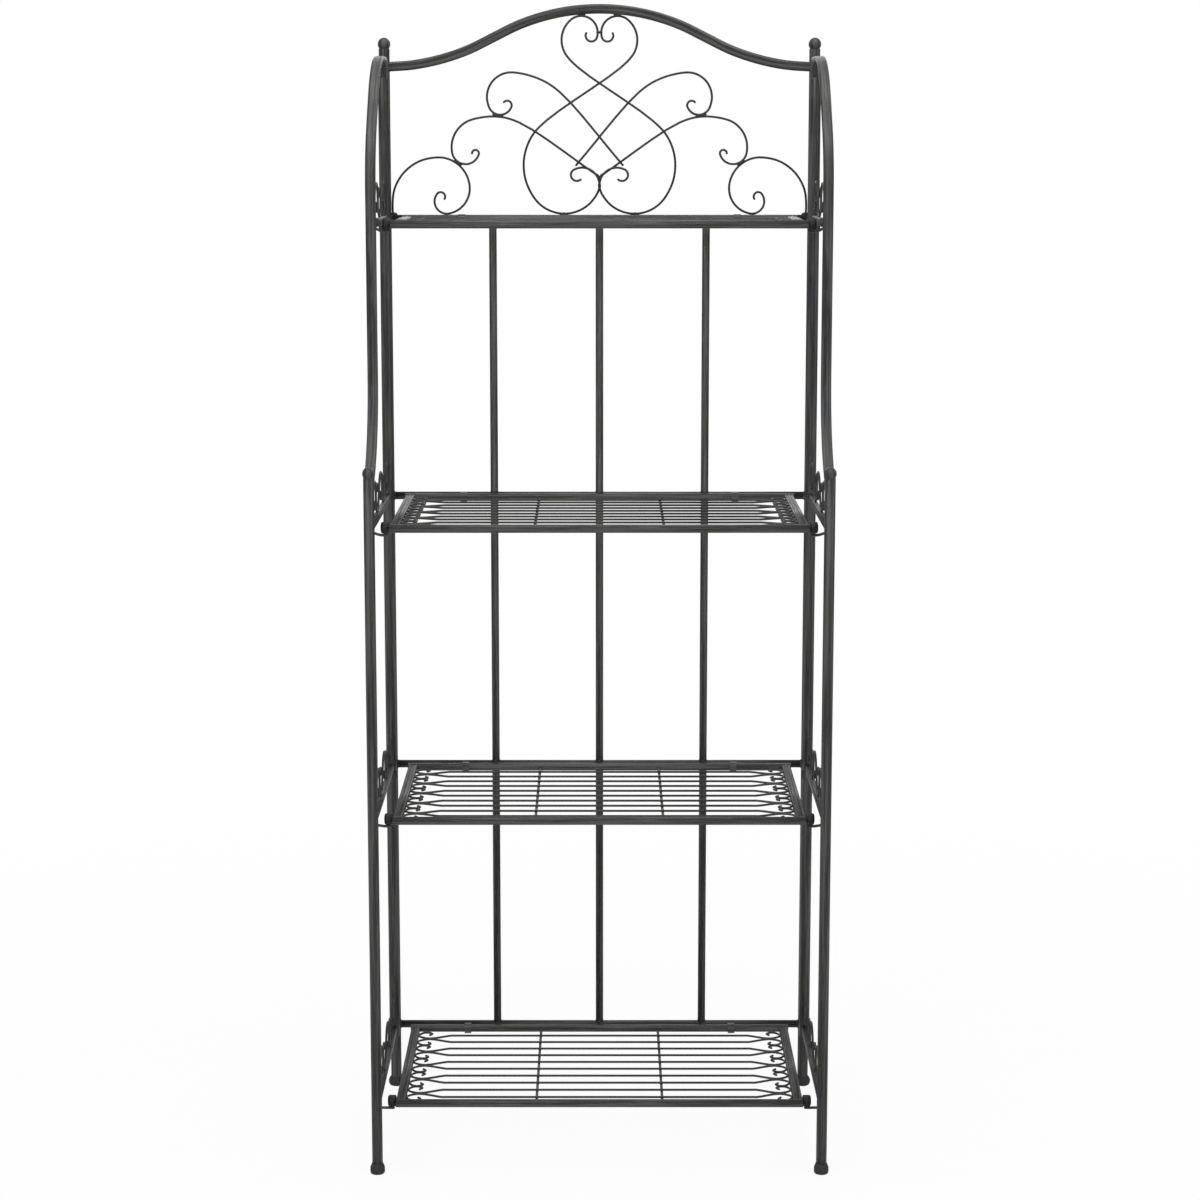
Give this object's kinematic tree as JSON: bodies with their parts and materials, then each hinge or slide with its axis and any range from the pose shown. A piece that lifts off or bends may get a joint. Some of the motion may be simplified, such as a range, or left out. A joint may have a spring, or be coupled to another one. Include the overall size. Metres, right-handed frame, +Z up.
{
  "type": "bakers rack",
  "caption": "Fold-flat bakers rack of painted steel tube and wire with slatted wire shelves, scrolled side galleries and an arched scrollwork crown.",
  "frame": {"origin": "on the floor at the middle of the footprint", "axes": "+Z up, -Y to the front where the shelves open, +X to the right seen from the front"},
  "size_m": [0.6518, 0.3773, 1.6411],
  "materials": {
    "painted_tube": "dark gunmetal grey paint, brushed with faint lighter streaks, semi-satin",
    "painted_wire": "dark gunmetal grey paint on bent wire, semi-satin",
    "plastic_plug": "black moulded plastic, fine grain",
    "rubber_foot": "dark grey rubber, matt"
  },
  "bodies": {
    "back_frame": {"back_post_left": "painted_tube", "back_post_right": "painted_tube", "post_finials": "painted_tube", "rear_feet": "rubber_foot", "cross_rail_1": "painted_tube", "cross_rail_2": "painted_tube", "cross_rail_3": "painted_tube", "cross_rail_4": "painted_tube", "back_bar_left": "painted_tube", "back_bar_middle": "painted_tube", "back_bar_right": "painted_tube", "heart_scroll_left": "painted_wire", "heart_scroll_right": "painted_wire", "upper_scroll_left": "painted_wire", "upper_scroll_right": "painted_wire", "lower_scroll_left": "painted_wire", "lower_scroll_right": "painted_wire", "corner_scroll_left": "painted_wire", "corner_scroll_right": "painted_wire", "top_arch": "painted_tube", "shelf_hinge_eyes": "painted_tube", "side_hinge_eyes": "painted_tube"},
    "side_frame_left": {"front_leg_left": "painted_tube", "front_foot_left": "rubber_foot", "rear_upright_left": "painted_tube", "top_bow_left": "painted_tube", "side_rails_left": "painted_tube", "side_galleries_left": "painted_wire", "support_hooks_left": "painted_wire"},
    "side_frame_right": {"front_leg_right": "painted_tube", "front_foot_right": "rubber_foot", "rear_upright_right": "painted_tube", "top_bow_right": "painted_tube", "side_rails_right": "painted_tube", "side_galleries_right": "painted_wire", "support_hooks_right": "painted_wire"},
    "shelf_1": {"shelf_rear_rail_1": "painted_tube", "shelf_front_rail_1": "painted_tube", "shelf_side_rails_1": "painted_tube", "shelf_wires_1": "painted_wire", "shelf_end_plugs_1": "plastic_plug"},
    "shelf_2": {"shelf_rear_rail_2": "painted_tube", "shelf_front_rail_2": "painted_tube", "shelf_side_rails_2": "painted_tube", "shelf_wires_2": "painted_wire", "shelf_end_plugs_2": "plastic_plug"},
    "shelf_3": {"shelf_rear_rail_3": "painted_tube", "shelf_front_rail_3": "painted_tube", "shelf_side_rails_3": "painted_tube", "shelf_wires_3": "painted_wire", "shelf_end_plugs_3": "plastic_plug"},
    "shelf_4": {"shelf_rear_rail_4": "painted_tube", "shelf_front_rail_4": "painted_tube", "shelf_side_rails_4": "painted_tube", "shelf_wires_4": "painted_wire", "shelf_end_plugs_4": "plastic_plug"}
  },
  "joints": [
    {"name": "shelf_1_fold", "type": "hinge", "parent": "back_frame", "child": "shelf_1", "pos_m": [0, 0.1575, 0.098], "axis": [-1, 0, 0], "range_deg": [0, 90]},
    {"name": "shelf_2_fold", "type": "hinge", "parent": "back_frame", "child": "shelf_2", "pos_m": [0, 0.1575, 0.509], "axis": [-1, 0, 0], "range_deg": [0, 90]},
    {"name": "shelf_3_fold", "type": "hinge", "parent": "back_frame", "child": "shelf_3", "pos_m": [0, 0.1575, 0.92], "axis": [-1, 0, 0], "range_deg": [0, 90]},
    {"name": "shelf_4_fold", "type": "hinge", "parent": "back_frame", "child": "shelf_4", "pos_m": [0, 0.1575, 1.331], "axis": [-1, 0, 0], "range_deg": [0, 90]},
    {"name": "side_frame_left_swing", "type": "hinge", "parent": "back_frame", "child": "side_frame_left", "pos_m": [-0.314, 0.1575, 0.8], "axis": [0, 0, -1], "range_deg": [0, 90]},
    {"name": "side_frame_right_swing", "type": "hinge", "parent": "back_frame", "child": "side_frame_right", "pos_m": [0.314, 0.1575, 0.8], "axis": [0, 0, 1], "range_deg": [0, 90]}
  ]
}
